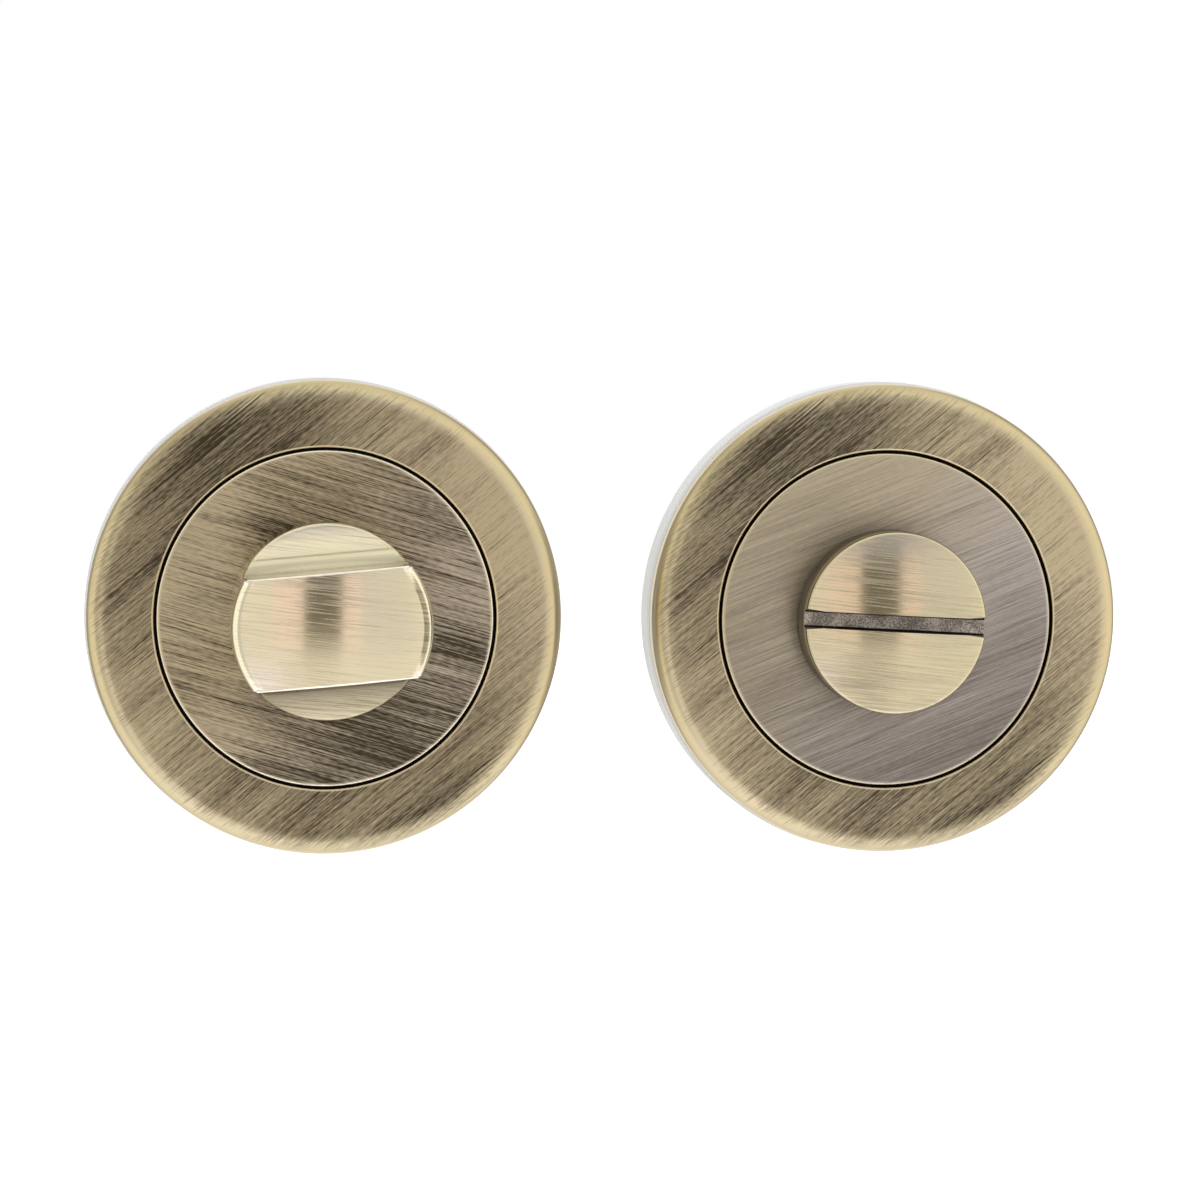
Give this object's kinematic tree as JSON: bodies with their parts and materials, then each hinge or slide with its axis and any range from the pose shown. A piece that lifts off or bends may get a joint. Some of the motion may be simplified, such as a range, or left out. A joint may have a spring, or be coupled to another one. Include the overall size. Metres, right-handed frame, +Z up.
{
  "type": "bathroom thumb turn lock",
  "caption": "Bathroom turn and release: a thumb turn and a coin-slot release on round brushed brass roses, with spindle, bases and fixings.",
  "frame": {"origin": "on the axis of the thumb turn, in the plane of its back face, which lies on the door", "axes": "+Y into the door, so the roses face -Y; +Z up; +X from the turn half to the release half"},
  "size_m": [0.1144, 0.0849, 0.0524],
  "materials": {
    "aged_brass": "brushed, antiqued and lacquered",
    "white_nylon": "moulded",
    "die_cast_zinc": "as cast",
    "bush_nylon": "moulded",
    "spring_steel": "oiled",
    "plated_steel": "bright zinc plated",
    "passivated_steel": "yellow passivated"
  },
  "bodies": {
    "roses": {"release_inner_rose": "aged_brass", "release_mounting_plate": "die_cast_zinc", "release_nylon_base": "white_nylon", "release_outer_rose": "aged_brass", "release_sleeve_lower": "plated_steel", "release_sleeve_upper": "plated_steel", "release_stem_bush": "bush_nylon", "release_wood_screw_left": "passivated_steel", "release_wood_screw_right": "passivated_steel", "turn_bolt_lower": "plated_steel", "turn_bolt_upper": "plated_steel", "turn_inner_rose": "aged_brass", "turn_mounting_plate": "die_cast_zinc", "turn_nylon_base": "white_nylon", "turn_outer_rose": "aged_brass", "turn_stem_bush": "bush_nylon", "turn_wood_screw_left": "passivated_steel", "turn_wood_screw_right": "passivated_steel"},
    "turn": {"turn_knob": "aged_brass", "turn_spindle": "plated_steel", "turn_grub_screw": "plated_steel", "turn_circlip": "spring_steel", "turn_wave_washer": "spring_steel"},
    "release": {"release_button": "aged_brass", "release_circlip": "spring_steel", "release_wave_washer": "spring_steel"}
  },
  "joints": [
    {"name": "thumb_turn", "type": "hinge", "parent": "roses", "child": "turn", "pos_m": [0, 0, 0], "axis": [0, -1, 0], "range_deg": [-95.3, 84.7]},
    {"name": "coin_release", "type": "hinge", "parent": "roses", "child": "release", "pos_m": [0.062, 0, 0], "axis": [0, -1, 0], "range_deg": [-87.3, 92.7]}
  ]
}
